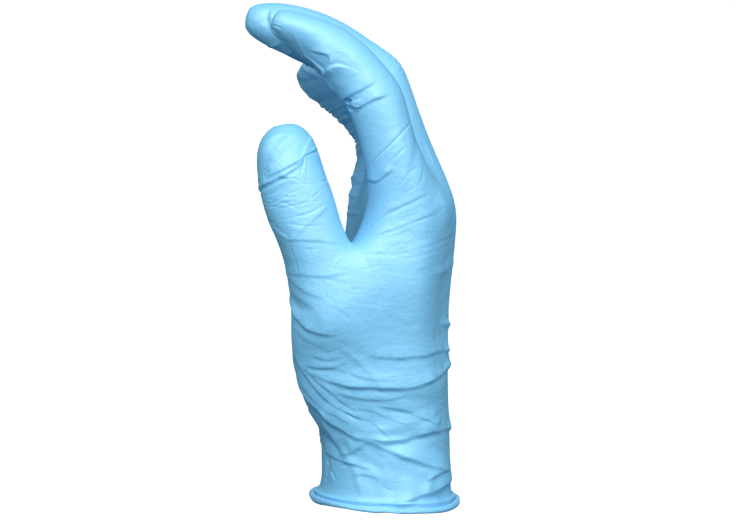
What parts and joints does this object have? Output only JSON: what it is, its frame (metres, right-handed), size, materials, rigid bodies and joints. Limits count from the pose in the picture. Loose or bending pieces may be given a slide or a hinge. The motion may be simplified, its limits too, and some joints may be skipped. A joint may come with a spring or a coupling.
{
  "type": "nitrile exam glove",
  "caption": "Thin disposable examination glove with a rolled bead at the cuff, in the form it takes on a loosely curled right hand.",
  "frame": {"origin": "centre of the cuff's mouth, in the plane of the rolled bead's lower edge, where the wrist comes out", "axes": "+Z from the cuff's mouth to the fingers, -X the palm's side that the fingers curl to, -Y the thumb's side"},
  "size_m": [0.079, 0.0918, 0.1847],
  "materials": {
    "nitrile_film": "thin sky-blue nitrile film with a satin sheen and fine creases"
  },
  "bodies": {
    "root": {"glove": "nitrile_film"}
  },
  "joints": []
}
